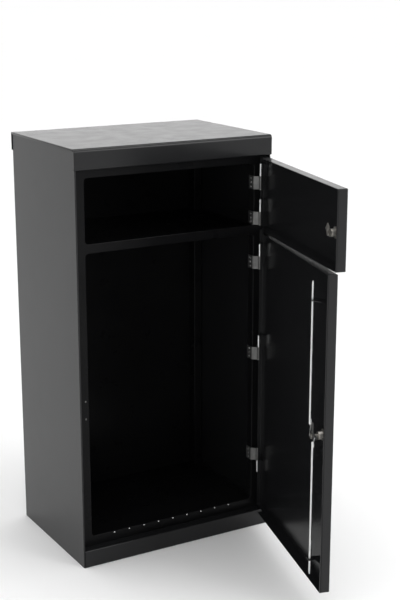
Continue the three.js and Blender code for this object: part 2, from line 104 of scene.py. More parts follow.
def shell(rings, place, wrap=False):
    """A closed shell of the rings, put in the world by `place`, with its faces outward."""
    rings = np.asarray(rings, float)
    count, points = rings.shape[:2]
    world = place(rings).reshape(-1, 3)
    faces = [ring_faces(count, points, wrap)]
    if not wrap:
        faces.append(np.arange(points)[None, ::-1])
        faces.append(np.arange(points)[None] + (count - 1) * points)
    centred = world - world.mean(0)
    if sum(signed_volume(centred, group) for group in faces) < 0:
        faces = [group[:, ::-1] for group in faces]
    return world, faces


square = np.array([[0, 0], [1, 0], [1, 1], [0, 1]], float)
cube = [np.hstack([square, np.full((4, 1), level)]) for level in (0.0, 1.0)]
cube_points, cube_faces = shell(cube, np.asarray)
print("a unit cube holds", round(sum(signed_volume(cube_points, group) for group in cube_faces), 6))

# %% [markdown]
# ## Where the rings lie
#
# Rings are drawn flat and stacked along a third direction, and a placing says which way the
# three run. The doors are drawn shut, with s from the free edge towards the hinges, z up and w
# out of the door, and are then turned about the hinge pin. A hinge's lower limit is the angle
# back to shut, so the angle at which a door stands open is read from the joint.

# %% Placings
def laid(order):
    """The placing of rings whose u, v and t run along the named directions, such as 'yzx'."""
    columns = [order.index(letter) for letter in "xyz"]
    return lambda points: points[..., columns]


def corner(node, which):
    """The lowest or highest corner of a part, in millimetres."""
    return np.array(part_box(node)[which]) / MM


hinge_of = {joint["child"]: joint for joint in frame["joints"]}
PIN = np.array(hinge_of["upper_door"]["pos_m"][:2]) / MM
FRONT = corner("top_cover", 0)[1]
DOOR_DEPTH = 23.0
DOOR_WIDTH = 497.0
FREE_EDGE_X = -250.5  # where the doors' free edge stands when they are shut
SHEET = 1.2  # panels, doors and trays
THICK_SHEET = 1.5  # lid, frame, plinth and posts


def on_door(door, order):
    """The placing of rings drawn on a shut door, whose u, v and t run along letters of s, z, w."""
    open_by = -math.radians(hinge_of[door]["range_deg"][0])
    cosine, sine = math.cos(open_by), math.sin(open_by)
    columns = [order.index(letter) for letter in "szw"]

    def place(points):
        s, z, w = (points[..., column] for column in columns)
        x = FREE_EDGE_X + s - PIN[0]
        y = FRONT + DOOR_DEPTH - w - PIN[1]
        return np.stack([PIN[0] + x * cosine - y * sine, PIN[1] + x * sine + y * cosine, z], -1)

    return place


print("hinge pin at", PIN.round(1), "front plane at", round(float(FRONT), 1))

# %% [markdown]
# ## Outlines
#
# Folded sheet has a bend where a drawing has a corner, and a pressed or filed plate has its
# corners taken off. Both are the same step: a corner is replaced by an arc that touches its two
# sides. A point is added a little way along each flat from the arc, so that the smooth shading
# of the bend doesn't run on over the flat.

# %% Bends
def unit(vectors):
    """Each vector divided by its length."""
    return vectors / np.maximum(np.linalg.norm(vectors, axis=-1, keepdims=True), 1e-9)


def bent(corners, radius, steps=5, closed=True):
    """Each corner P becomes the arc C + r (cos a, sin a) that touches both of its sides."""
    corners = np.asarray(corners, float)
    runs = [] if closed else [corners[:1]]
    for i in range(0 if closed else 1, len(corners) - (0 if closed else 1)):
        here = corners[i]
        back = unit(corners[i - 1] - here)
        ahead = unit(corners[(i + 1) % len(corners)] - here)
        half = math.acos(np.clip(back @ ahead, -1, 1)) / 2
        reach = radius / math.tan(half)
        centre = here + unit(back + ahead) * radius / math.sin(half)
        start, end = here + back * reach - centre, here + ahead * reach - centre
        share = np.linspace(0, 1, steps + 1)[:, None]
        sweep = math.pi - 2 * half
        arc = (np.sin((1 - share) * sweep) * start + np.sin(share * sweep) * end) / math.sin(sweep)
        pad = min(0.3, 0.2 * radius)
        edge = [centre + start + back * pad, centre + end + ahead * pad]
        runs += [edge[:1], centre + arc, edge[1:]]
    if not closed:
        runs.append(corners[-1:])
    return np.concatenate(runs)


def fold_path(corners, radii, steps=10):
    """The path with a bend of its own radius at each inner corner, joined from one-bend pieces."""
    corners = np.asarray(corners, float)
    runs = [corners[:1]]
    for i, radius in enumerate(radii, 1):
        runs.append(bent(corners[i - 1:i + 2], radius, steps, closed=False)[1:-1])
    runs.append(corners[-1:])
    return np.concatenate(runs)


print("a square with bent corners has", len(bent(square, 0.1)), "points")

# %% [markdown]
# ## Sheet from a middle line
#
# A folded sheet is easiest to draw as the line through the middle of the metal. Moving that line
# half a thickness to each side gives both faces at once, and the thickness stays true round
# every bend.

# %% Offsets and sheets
def sideways(line, closed):
    """The direction square to the line at each point, longer at a corner to keep offsets parallel."""
    if closed:
        ahead = unit(np.roll(line, -1, 0) - line)
        back = np.roll(ahead, 1, 0)
    else:
        steps = unit(np.diff(line, axis=0))
        ahead = np.vstack([steps, steps[-1:]])
        back = np.vstack([steps[:1], steps])
    both = ahead + back
    scale = 2 / np.maximum((both**2).sum(-1, keepdims=True), 0.3)
    return np.stack([both[:, 1], -both[:, 0]], -1) * scale


def thickened(middle, thickness):
    """The closed outline of a sheet: its middle line moved half a thickness each way."""
    side = sideways(middle, False) * thickness / 2
    return np.concatenate([middle + side, (middle - side)[::-1]])


def sheet_outline(corners, radius, thickness):
    """The outline of a folded sheet whose bends all have one radius."""
    return thickened(bent(corners, radius, closed=False), thickness)


angle_iron = sheet_outline([[0, 20], [0, 0], [20, 0]], 2, 1)
print("an angle's outline has", len(angle_iron), "points")

# %% [markdown]
# ## Carried and turned pieces
#
# Two moves make nearly every piece here from an outline. A folded part is its outline carried
# along a line, as it is on a press brake, and a pin is its profile turned about an axis, as it
# is on a lathe. Both round the rims a little, because no real edge is sharp enough to lose its
# highlight.

# %% Carry and turn
def anticlockwise(outline):
    """The outline, turned round if its area, the sum of x dy - y dx, is negative."""
    ahead = np.roll(outline, -1, 0)
    area = (outline[:, 0] * ahead[:, 1] - outline[:, 1] * ahead[:, 0]).sum()
    return outline if area > 0 else outline[::-1]


def carried(outline, start, end, edge=0.3):
    """Rings of an outline carried from start to end, its two rims rounded to the radius `edge`.

    Over the rounding, at angle a, the outline is inset by edge (1 - sin a) at a depth of
    edge (1 - cos a)."""
    outline = anticlockwise(np.asarray(outline, float))
    angle = np.linspace(0, math.pi / 2, 4)
    inset = np.append(edge * (1 - np.sin(angle)), 0)
    depth = np.append(edge * (1 - np.cos(angle)), min(2 * edge, (end - start) / 2.2))
    inset = np.concatenate([inset, inset[::-1]])
    t = np.concatenate([start + depth, end - depth[::-1]])
    flat = outline[None] - inset[:, None, None] * sideways(outline, True)[None]
    height = np.broadcast_to(t[:, None, None], flat.shape[:2] + (1,))
    return np.concatenate([flat, height], -1)


def turned(profile, centre, sides=40):
    """Rings of a turned piece: (u, v) = centre + r (cos a, sin a), t from the profile of [r, t]."""
    profile = np.asarray(profile, float)
    angle = np.arange(sides) * 2 * math.pi / sides
    circle = np.stack([np.cos(angle), np.sin(angle)], -1)
    flat = np.asarray(centre) + profile[:, :1, None] * circle[None]
    height = np.broadcast_to(profile[:, 1:, None], flat.shape[:2] + (1,))
    return np.concatenate([flat, height], -1)


def rounded_bar(radius, start, end, edge=0.4):
    """The profile of a round bar with softened ends."""
    angle = np.linspace(0, math.pi / 2, 4)
    r = radius - edge * (1 - np.sin(angle))
    t = edge * (1 - np.cos(angle))
    low = np.stack([r, start + t], -1)
    high = np.stack([r, end - t], -1)[::-1]
    middle = [[radius, start + 2 * edge], [radius, end - 2 * edge]]
    return np.vstack([[[radius - 2 * edge, start]], low, middle, high, [[radius - 2 * edge, end]]])


print("a pin is", turned(rounded_bar(2, 0, 30), (0, 0)).shape[0], "rings")

# %% [markdown]
# ## A finished piece
#
# A piece is one or more shells in one mesh, in metres, with its object at the origin. Bends are
# shaded smooth and real edges stay sharp. It rides on its body, names the material slot that it
# belongs to, and stands for the plain part that it hides.

# %% Make a piece
finish_of = {}


def piece(name, shells, body, slot, replaces=()):
    """A mesh object of the shells, shaded, painted and riding on its body."""
    offset = 0
    points, polygons = [], []
    for world, faces in shells:
        points.append(world * MM)
        for group in faces:
            polygons += (group + offset).tolist()
        offset += len(world)
    mesh = bpy.data.meshes.new(name)
    mesh.from_pydata(np.concatenate(points).tolist(), [], polygons)
    mesh.shade_smooth()
    mesh.set_sharp_from_angle(angle=math.radians(34))
    made = bpy.data.objects.new(name, mesh)
    bpy.context.scene.collection.objects.link(made)
    mesh.materials.append(finish_of[slot])
    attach(made, body)
    if replaces:
        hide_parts(*replaces)
    return made


print("material slots so far:", len(finish_of))

# %% [markdown]
# ## Black powder coat
#
# Powder is sprayed on dry and baked, so it flows into a skin with a faint orange-peel, rounder
# and softer than brushed paint. Three scales make it: a grain of about a millimetre, a slow
# waviness of the sheet under it, and small changes of gloss from handling. Noise on Object
# coordinates keeps all three fixed to the metal while the doors move. The alternative, a
# painted texture, would need unwrapping and would blur close up. First come the small helpers
# that add one node each.

# %% Node helpers
def blank_material(name):
    """A material with its Principled shader, and the Object coordinates that patterns read."""
    made = bpy.data.materials.new(name)
    made.use_nodes = True
    nodes = made.node_tree.nodes
    where = nodes.new("ShaderNodeTexCoord").outputs["Object"]
    return made, nodes["Principled BSDF"], where


def noise(material, where, scale, detail=2.0, stretch=None):
    """A noise of the given number of cells per metre, from 0 to 1, stretched if asked."""
    nodes, links = material.node_tree.nodes, material.node_tree.links
    if stretch is not None:
        mapping = nodes.new("ShaderNodeMapping")
        mapping.inputs["Scale"].default_value = stretch
        links.new(where, mapping.inputs["Vector"])
        where = mapping.outputs["Vector"]
    made = nodes.new("ShaderNodeTexNoise")
    made.inputs["Scale"].default_value = scale
    made.inputs["Detail"].default_value = detail
    links.new(where, made.inputs["Vector"])
    return made.outputs["Fac"]


def ranged(material, value, low, high, start=0.3, stop=0.7):
    """The value carried from start..stop to low..high, and held there beyond."""
    made = material.node_tree.nodes.new("ShaderNodeMapRange")
    for name, number in (("From Min", start), ("From Max", stop), ("To Min", low), ("To Max", high)):
        made.inputs[name].default_value = number
    material.node_tree.links.new(value, made.inputs["Value"])
    return made.outputs["Result"]


def mixed(material, share, low, high):
    """The colour between two colours at the given share."""
    made = material.node_tree.nodes.new("ShaderNodeMix")
    made.data_type = "RGBA"
    made.inputs[6].default_value = (*low, 1)
    made.inputs[7].default_value = (*high, 1)
    material.node_tree.links.new(share, made.inputs[0])
    return made.outputs[2]


def bumps(material, layers):
    """Bumps stacked on each other, each a (height, strength, distance in metres)."""
    nodes, links = material.node_tree.nodes, material.node_tree.links
    normal = None
    for height, strength, distance in layers:
        made = nodes.new("ShaderNodeBump")
        made.inputs["Strength"].default_value = strength
        made.inputs["Distance"].default_value = distance
        links.new(height, made.inputs["Height"])
        if normal is not None:
            links.new(normal, made.inputs["Normal"])
        normal = made.outputs["Normal"]
    return normal


print("pattern helpers: noise, ranged, mixed, bumps")

# %% [markdown]
# ## The paint itself
#
# The outside has an even satin gloss. The frame and the trays inside get a darker, duller copy of
# the same powder, as painted shade, so they mirror much less and the compartments stay dark.

# %% Paint
def powder_coat(name, dark, light, gloss_low, gloss_high, peel, mirror):
    """Baked powder: two shades in slow clouds, uneven gloss, orange-peel and a wavy sheet."""
    made, shader, where = blank_material(name)
    links = made.node_tree.links
    clouds = noise(made, where, 7, 4)
    links.new(mixed(made, ranged(made, clouds, 0, 1), dark, light), shader.inputs["Base Color"])
    handling = noise(made, where, 23, 5)
    links.new(ranged(made, handling, gloss_low, gloss_high), shader.inputs["Roughness"])
    waviness = (noise(made, where, 2.4, 0), 0.2, 0.0003)
    orange_peel = (noise(made, where, 620, 2), peel, 0.00012)
    links.new(bumps(made, [waviness, orange_peel]), shader.inputs["Normal"])
    shader.inputs["Specular IOR Level"].default_value = mirror
    return made


finish_of["black_coat"] = powder_coat(
    "black powder coat", (0.0085, 0.0087, 0.0093), (0.0108, 0.011, 0.0117), 0.2, 0.25, 0.12, 0.28)
# A darker, less mirroring copy of the same powder: painted shade that keeps the frame and the
# compartments dark.
finish_of["black_inside"] = powder_coat(
    "black powder coat darkened as painted shade", (0.004, 0.004, 0.0044), (0.006, 0.006, 0.0064), 0.26, 0.34, 0.16, 0.09)
print("paint:", sorted(finish_of))

# %% [markdown]
# ## Bare and plated steel
#
# The hinge plates are plain rolled steel, dull and lightly streaked. Pins and rods are bright
# zinc, drawn along their length. The lock parts are die cast and plated, a little warmer. One
# recipe serves all three: metal whose roughness is streaked by a stretched noise, with a finer
# noise as its grain.

# %% Metals
def metal(name, dark, light, gloss_low, gloss_high, stretch, grain=0.1):
    """Metal in two shades, its gloss streaked by a noise stretched along the drawing direction."""
    made, shader, where = blank_material(name)
    links = made.node_tree.links
    patches = noise(made, where, 60, 4)
    links.new(mixed(made, ranged(made, patches, 0, 1), dark, light), shader.inputs["Base Color"])
    streaks = noise(made, where, 240, 3, stretch)
    links.new(ranged(made, streaks, gloss_low, gloss_high), shader.inputs["Roughness"])
    layers = [(streaks, grain, 0.00006), (noise(made, where, 900, 2), grain, 0.00005)]
    links.new(bumps(made, layers), shader.inputs["Normal"])
    shader.inputs["Metallic"].default_value = 1.0
    return made


finish_of["plain_steel"] = metal(
    "rolled steel", (0.13, 0.13, 0.128), (0.18, 0.18, 0.176), 0.5, 0.62, (1, 1, 0.15))
finish_of["bright_zinc"] = metal(
    "bright zinc", (0.55, 0.56, 0.56), (0.7, 0.7, 0.69), 0.18, 0.32, (1, 1, 0.08))
finish_of["lock_zinc"] = metal(
    "plated lock zinc", (0.34, 0.325, 0.3), (0.48, 0.46, 0.43), 0.34, 0.5, (1, 1, 0.6))
print("metals:", sorted(set(finish_of) - {"black_coat", "black_inside"}))

# %% [markdown]
# ## Pans
#
# A door is a flat sheet with its edges folded down, so its rings run across the skin, over the
# bend, down the flange, round its cut edge, up the inside and back under the skin. All the rings
# are rounded rectangles with the same points, which keeps the flanges square. The flange's depth
# may change from point to point, because a door's flanges are cut back near the hinges.

# %% Rounded rectangles and pans
def rectangle(low, high, radius, stops_u, stops_v, steps=5):
    """A rounded rectangle, anticlockwise: sides with points at the stops, corners as quarter arcs."""
    (u0, v0), (u1, v1) = low, high
    radius = max(radius, 0.05)
    turn = np.linspace(0, math.pi / 2, steps + 1)

    def arc(u, v, start):
        return np.stack([u + radius * np.cos(turn + start), v + radius * np.sin(turn + start)], -1)

    def side(u, v):
        return np.stack(np.broadcast_arrays(u, v), -1).astype(float)

    return np.concatenate([
        side(stops_u, v0), arc(u1 - radius, v0 + radius, -math.pi / 2),
        side(u1, stops_v), arc(u1 - radius, v1 - radius, 0),
        side(stops_u[::-1], v1), arc(u0 + radius, v1 - radius, math.pi / 2),
        side(u0, stops_v[::-1]), arc(u0 + radius, v0 + radius, math.pi),
    ])


def pan(low, high, top, tip, bend, thickness, stops_u, stops_v, corner_radius=2.5):
    """Rings of a pan that opens downwards in t: `tip` gives the flange's edge at each point (u, v).

    Over the outer bend, at angle a, the inset is R (1 - sin a) and t is top - R (1 - cos a)."""
    def loop(inset):
        inner = np.array(low) + inset
        outer = np.array(high) - inset
        return rectangle(inner, outer, corner_radius - inset, stops_u, stops_v)

    edge = tip(loop(0))
    angle = np.linspace(math.pi / 2, 0, 6)[::-1]
    over = [(bend * (1 - math.sin(a)), top - bend * (1 - math.cos(a))) for a in angle]
    small = bend - thickness
    under = [(bend - small * math.sin(a), top - bend + small * math.cos(a)) for a in angle]
    soft = 0.25 * thickness
    rings = [(bend + 0.5, top)] + over + [(0, top - bend - 0.5), (0, edge + soft), (soft, edge)]
    rings += [(thickness - soft, edge), (thickness, edge + soft), (thickness, top - bend - 0.5)]
    rings += under[::-1] + [(bend + 0.5, top - thickness)]
    flats = [loop(inset) for inset, t in rings]
    heights = [np.broadcast_to(t, len(edge))[:, None] for inset, t in rings]
    return [np.hstack([flat, height]) for flat, height in zip(flats, heights)]


print("a rounded rectangle has", len(rectangle((0, 0), (9, 9), 2, [4.5], [4.5])), "points")

# %% [markdown]
# ## Lid
#
# The lid is the one piece that catches the light from above. A single folded sheet runs from a
# narrow return under the fascia, up the front, over the top and down behind, so it is one
# outline in the side view carried across the cabinet. Its front fold has a generous radius,
# which shows as a dark line above a bright one. Shallow strips close the two sides.

# %% Lid
def make_lid():
    """The lid's side view, a folded sheet, carried from side to side, and two edge strips."""
    low, high = corner("top_cover", 0), corner("top_cover", 1)
    fascia, rear, front_bend, rear_bend, drip_bend = 48.0, 43.0, 7.0, 2.5, 1.6
    drip = 9.5  # how far the return under the fascia runs back
    half = THICK_SHEET / 2
    face, top, back = low[1] + half, high[2] - half, high[1] - half
    under = high[2] - fascia + half
    path = [[face + drip, under], [face, under], [face, top], [back, top], [back, high[2] - rear]]
    outline = thickened(fold_path(path, [drip_bend, front_bend, rear_bend]), THICK_SHEET)
    shells = [shell(carried(outline, low[0], high[0], 0.5), laid("yzx"))]
    wide, deep, bite = 1.7, 3.6, 0.2  # an edge strip, and how far it runs up into the lid
    near, far = low[1] + front_bend, high[1] - 2.2
    upper = high[2] - THICK_SHEET + bite
    lower = high[2] - THICK_SHEET - deep
    strip = [[near, lower], [far, lower], [far, upper], [near, upper]]
    for edge in (low[0], high[0] - wide):
        shells.append(shell(carried(strip, edge, edge + wide, 0.4), laid("yzx")))
    return piece("lid", shells, "cabinet", "black_coat", ["top_cover"])


lid = make_lid()
print("lid:", len(lid.data.polygons), "faces")

# %% [markdown]
# ## Side panels
#
# Each side is one sheet whose front and rear edges are turned in, which stiffens it and gives
# the door something to close against. Its outline seen from above is carried straight up.

# %% Side panels
def make_side(node, outward):
    """A side seen from above, turned in at both ends, carried from the floor to the lid."""
    front_return, rear_return = 2.4, 11.4
    low, high = corner(node, 0), corner(node, 1)
    outer = (high if outward > 0 else low)[0] - outward * SHEET / 2
    near, far = low[1] + SHEET / 2, high[1] - SHEET / 2
    path = [[outer - outward * front_return, near], [outer, near], [outer, far],
            [outer - outward * rear_return, far]]
    rings = carried(sheet_outline(path, 1.3, SHEET), low[2], high[2])
    name = node.replace("panel", "sheet")
    return piece(name, [shell(rings, laid("xyz"))], "cabinet", "black_coat", [node])


sides = [make_side("left_side_panel", -1), make_side("right_side_panel", 1)]
print("sides:", [side.name for side in sides])

# %% [markdown]
# ## Plinth
#
# The plinth closes the foot of the cabinet. Its board has a ledge at the top, which runs back
# under the doors, and a short return at the floor, so it is one folded strip as well.

# %% Plinth
def make_plinth():
    """The plinth's side view, a folded sheet, carried from side to side."""
    foot = 12
    low, high = corner("plinth", 0), corner("plinth", 1)
    half = THICK_SHEET / 2
    face, ledge, bottom = low[1] + half, high[2] - half, low[2] + half
    path = [[low[1] + foot, bottom], [face, bottom], [face, ledge], [high[1], ledge]]
    rings = carried(sheet_outline(path, 1.9, THICK_SHEET), low[0], high[0])
    return piece("plinth_board", [shell(rings, laid("yzx"))], "cabinet", "black_coat", ["plinth"])


plinth = make_plinth()
print("plinth:", len(plinth.data.polygons), "faces")

# %% [markdown]
# ## Corner posts and trays
#
# Inside, two channels stand in the rear corners and carry the shelf and the floor. Both of those
# are trays: the shelf's front edge is folded up so that letters don't slide out, and the
# floor's is folded down. A tray is narrower between the posts, so it is made of two strips.

# %% Corner posts and trays
def make_post(node):
    """A channel seen from above, open to the back, carried up the corner."""
    low, high = corner(node, 0), corner(node, 1)
    half = THICK_SHEET / 2
    left, right, front = low[0] + half, high[0] - half, low[1] + half
    path = [[left, high[1]], [left, front], [right, front], [right, high[1]]]
    rings = carried(sheet_outline(path, 1.6, THICK_SHEET), low[2], high[2])
    return piece(node + "_channel", [shell(rings, laid("xyz"))], "cabinet", "black_inside", [node])


def make_tray(node, fold):
    """A tray folded at the front, up or down: its middle line runs back from the end of the fold."""
    low, high = corner(node, 0), corner(node, 1)
    level = (low[2] if fold > 0 else high[2]) + fold * SHEET / 2
    end = high[2] if fold > 0 else low[2]
    face = low[1] + SHEET / 2
    post = corner("rear_post_left", 0)[1] - 0.3
    front_strip = sheet_outline([[face, end], [face, level], [post, level]], 1.4, SHEET)
    back_strip = sheet_outline([[post, level], [high[1], level]], 1.4, SHEET)
    between = corner("rear_post_right", 0)[0] - 0.3
    strips = [shell(carried(front_strip, low[0], high[0]), laid("yzx")),
              shell(carried(back_strip, -between, between), laid("yzx"))]
    return piece(node + "_tray", strips, "cabinet", "black_inside", [node])


posts = [make_post("rear_post_left"), make_post("rear_post_right")]
trays = [make_tray("shelf", 1), make_tray("floor_panel", -1)]
print("inside:", [made.name for made in posts + trays])

# %% [markdown]
# ## Front frame
#
# The frame is one sheet with two openings, and the metal round each opening is rolled back. The
# roll is what shows, as a thin bright line. Each opening gets its own cell: rings that run from
# the cell's border over the face, round the roll, down the lip, and back under the sheet. The
# lip is deep only on the hinge side, where the brackets are screwed to it.

# %% Front frame
def frame_cell(window, cell, face, deep):
    """Rings of one cell: window and cell are (low, high) corners in x and z, face is its y.

    Over the roll, at angle a, the opening is grown by R (1 - sin a) at y = face + R (1 - cos a)."""
    sheet, roll, radius = THICK_SHEET, 2.0, 8.0
    (x0, z0), (x1, z1) = window
    (cx0, cz0), (cx1, cz1) = cell
    stops_x = np.linspace(x0 + radius, x1 - radius, 22)[1:-1]
    stops_z = np.linspace(z0 + radius, z1 - radius, 12)[1:-1]

    def loop(grow):
        return rectangle((x0 - grow, z0 - grow), (x1 + grow, z1 + grow), radius + grow,
                         stops_x, stops_z, 8)

    edge = loop(roll)
    centre = np.clip(edge, [x0 + radius, z0 + radius], [x1 - radius, z1 - radius])
    out = edge - centre
    room = np.where(out > 0, [cx1, cz1] - centre, centre - [cx0, cz0])
    with np.errstate(divide="ignore"):
        reach = np.where(np.abs(out) > 1e-6, room / np.abs(out), np.inf).min(1)
    border = centre + out * reach[:, None]
    corners = np.array([[cx1, cz0], [cx1, cz1], [cx0, cz1], [cx0, cz0]])
    nearest = np.linalg.norm(border[None] - corners[:, None], axis=-1).argmin(1)
    border[nearest] = corners
    hinge_side = loop(0)[:, 0] > x1 - 1.5
    tip = face + np.where(hinge_side, deep, roll)
    angle = np.linspace(0, math.pi / 2, 6)
    rings = [(border, face), (loop(roll + 0.4), face)]
    rings += [(loop(roll * (1 - math.sin(a))), face + roll * (1 - math.cos(a))) for a in angle]
    rings += [(loop(0), np.maximum(tip - 0.2, face + roll)), (loop(0.3), tip)]
    rings += [(loop(sheet - 0.3), tip), (loop(sheet), np.maximum(tip - 0.3, face + roll - 0.2))]
    rings += [(loop(roll), face + sheet), (border, face + sheet)]
    return [np.hstack([flat, np.broadcast_to(y, len(flat))[:, None]]) for flat, y in rings]


def make_front_frame():
    """Two cells of rings, one round each opening, that meet halfway up the rail between them."""
    left, right = -222.8, 226.4
    parcel, letter = (66.2, 757.0), (779.6, 929.7)  # the openings' sills and heads
    low, high = corner("front_frame", 0), corner("front_frame", 1)
    windows = [((left, sill), (right, head)) for sill, head in (parcel, letter)]
    middle = (parcel[1] + letter[0]) / 2
    cells = [((low[0], low[2]), (high[0], middle)), ((low[0], middle), (high[0], high[2]))]
    shells = [shell(frame_cell(window, cell, low[1], high[1] - low[1]), laid("xzy"), wrap=True)
              for window, cell in zip(windows, cells)]
    # The frame takes the darker copy of the powder coat, painted shade for its recess.
    return piece("frame_front", shells, "cabinet", "black_inside", ["front_frame"])


front_frame = make_front_frame()
print("frame:", len(front_frame.data.polygons), "faces")

# %% [markdown]
# ## Doors
#
# Each door is a shallow pan, open on the inside, so the inside of its skin shows and mirrors the
# cabinet softly. The top and bottom flanges stop short of the hinges. A narrow lip turns in
# along the free edge.

# %% Door pans
SHUT = {door: (corner(door + "_pan", 0)[2], corner(door + "_pan", 1)[2])
        for door in ("upper_door", "lower_door")}


def make_door(door, node):
    """A pan drawn shut, with w = 0 at its flanges' edge, and a lip bent in at the free edge."""
    shut = SHUT[door]
    bend = 2.0
    short = 449.0  # where the deep flanges end
    shallow = 13.0  # w of the flanges' edge beyond that

    def tip(points):
        return np.where(points[:, 0] < short, 0.0, shallow)

    step = short + np.array([-1.5, -0.2, 0.2, 1.5])
    across = np.concatenate([np.linspace(4, short - 4, 12), step, [470, 490]])
    up = np.linspace(shut[0] + 6, shut[1] - 6, 8)
    rings = pan((0, shut[0]), (DOOR_WIDTH, shut[1]), DOOR_DEPTH, tip, bend, SHEET, across, up, 2.2)
    half, lip_reach = SHEET / 2, 3
    lip = sheet_outline([[half, lip_reach], [half, half], [lip_reach, half]], 1.0, SHEET)
    shells = [shell(rings, on_door(door, "szw")),
              shell(carried(lip, shut[0] + 1.4, shut[1] - 1.4), on_door(door, "swz"))]
    return piece(door + "_skin", shells, door, "black_coat", [node])


doors = [make_door(door, door + "_pan") for door in SHUT]
print("doors:", {door: [round(float(z), 1) for z in span] for door, span in SHUT.items()})

# %% [markdown]
# ## Hinges
#
# A hinge here is a bent steel plate screwed to the frame, with an eye for a long pin. The door
# carries a short tube that runs on the pin, held to its skin by a small folded strap. All five
# hinges are the same, so one loop makes them.

# %% Hinges
def screw(radius, base, rise):
    """The profile of a round screw head with a sunk socket, from its base out along t."""
    shares = np.array([[1, 0], [1, 0.35], [0.9, 0.75], [0.62, 1], [0.42, 1], [0.36, 0.5], [0.1, 0.45]])
    return shares * [radius, rise] + [0, base]


def make_hinge(number):
    """A bracket with three screws, its pin, and the door's tube, all read from the frame."""
    door = "upper_door" if number < 3 else "lower_door"
    bracket, pin, tube = (f"hinge_{part}_{number}" for part in ("bracket", "pin", "tube"))
    low, high = corner(bracket, 0), corner(bracket, 1)
    thick, eye, pin_radius = 2.5, 3.3, 2.0
    leaf_x = 224.65  # middle of the leaf on the frame's return
    fold_y = corner("front_frame", 0)[1] - 1.0
    across = unit(np.array([PIN[0] - leaf_x, PIN[1] - fold_y]))
    arm_end = PIN - across * eye + [0, 0.6]
    path = [[leaf_x, high[1]], [leaf_x, fold_y], arm_end]
    plate = carried(sheet_outline(path, 2.2, thick), low[2], high[2], 0.4)
    barrel = turned(rounded_bar(eye, low[2], high[2]), PIN, 36)
    bracket_shells = [shell(plate, laid("xyz")), shell(barrel, laid("xyz"))]
    piece(f"bracket_{number}", bracket_shells, "cabinet", "plain_steel", [bracket])
    screws = [turned(screw(2.6, leaf_x - thick / 2, -1.6), (fold_y + 10, height), 20)
              for height in np.linspace(low[2] + 6, high[2] - 6, 3)]
    heads_on_leaf = [shell(head, laid("yzx")) for head in screws]
    piece(f"bracket_screws_{number}", heads_on_leaf, "cabinet", "bright_zinc")

    low, high = corner(pin, 0)[2], corner(pin, 1)[2]
    bar = turned(rounded_bar(pin_radius, low, high), PIN, 28)
    piece(f"pin_{number}", [shell(bar, laid("xyz"))], "cabinet", "bright_zinc", [pin])
    low, high = corner(tube, 0)[2], corner(tube, 1)[2]
    sleeve = turned(rounded_bar(eye, low, high), PIN, 36)
    piece(f"tube_{number}", [shell(sleeve, laid("xyz"))], door, "bright_zinc", [tube])


for number in range(1, 6):
    make_hinge(number)
print("hinges: 5")

# %% [markdown]
# ## Locks
#
# Each door has a die-cast lock body through its skin, held by a large nut on the inside, with a
# cam or a crank on the end of the turning plug. Plates are outlines with rounded corners,
# carried through their thickness with softened rims. Nuts are hexagons whose corners are taken
# off by a small radius.

# %% Nuts and arms
def hexagon(centre, flats):
    """The corners centre + flats / sqrt 3 (cos a, sin a) of a nut."""
    angle = np.arange(6) * math.pi / 3
    return np.asarray(centre) + flats / math.sqrt(3) * np.stack([np.cos(angle), np.sin(angle)], -1)


def slot_outline(centre, reach, width, steps=10):
    """A bar with round ends from the centre up to the reach: half circles of radius width / 2."""
    angle = np.linspace(0, math.pi, steps)
    arc = np.stack([np.cos(angle), np.sin(angle)], -1) * width / 2
    return np.concatenate([arc + [0, reach - width / 2], -arc]) + centre


LOCKS = {"upper": (47.0, 848.0), "lower": (52.0, 398.0)}  # (s, z) of each lock's axis
LOCK_NUT_FLATS, SPINDLE_NUT_FLATS = 24, 11
print("a nut's corners lie", round(np.linalg.norm(hexagon((0, 0), LOCK_NUT_FLATS)[0]), 2), "mm out")

# %% [markdown]
# ## Lock bodies
#
# The body is turned: a flange with a chamfer stands on the door's outer face, and the barrel
# goes through the skin to a step at its inner end. The plug in its bore keeps the shape that it
# has in the frame.

# %% Lock bodies
def make_lock(which):
    """The lock body with its flange outside and thread inside, and the nut that holds it."""
    centre = LOCKS[which]
    door = which + "_door"
    face = DOOR_DEPTH + 0.3
    place = on_door(door, "szw")
    flange = [[7.2, 0.7], [7.2, 1.7], [7.6, 2], [10.4, 2], [11.5, 1.5], [12, 0.7], [12, 0], [9, 0]]
    barrel = [[9, 6.8], [8.5, 6], [6.6, 6], [6.6, 6.4]]
    body = barrel[::-1] + [[r, face + t] for r, t in flange[::-1]]
    piece(which + "_lock_body", [shell(turned(body, centre, 56), place)], door, "lock_zinc",
          [which + "_lock_housing"])
    top = DOOR_DEPTH - SHEET - 0.3
    nut = carried(bent(hexagon(centre, LOCK_NUT_FLATS), 1.2, 3), top - 5, top, 0.7)
    piece(which + "_lock_ring", [shell(nut, place)], door, "lock_zinc", [which + "_lock_nut"])


for which in LOCKS:
    make_lock(which)
print("locks:", list(LOCKS))

# %% [markdown]
# ## Cam and crank
#
# The upper door is held by one cam that turns behind the frame. The lower door's plug turns a
# crank with two pins, and each pin pushes a rod, one up and one down, while a tongue swings
# behind the frame between them. All are flat plates, so each is an outline carried through its
# thickness, and the cam is a strip seen from its edge.

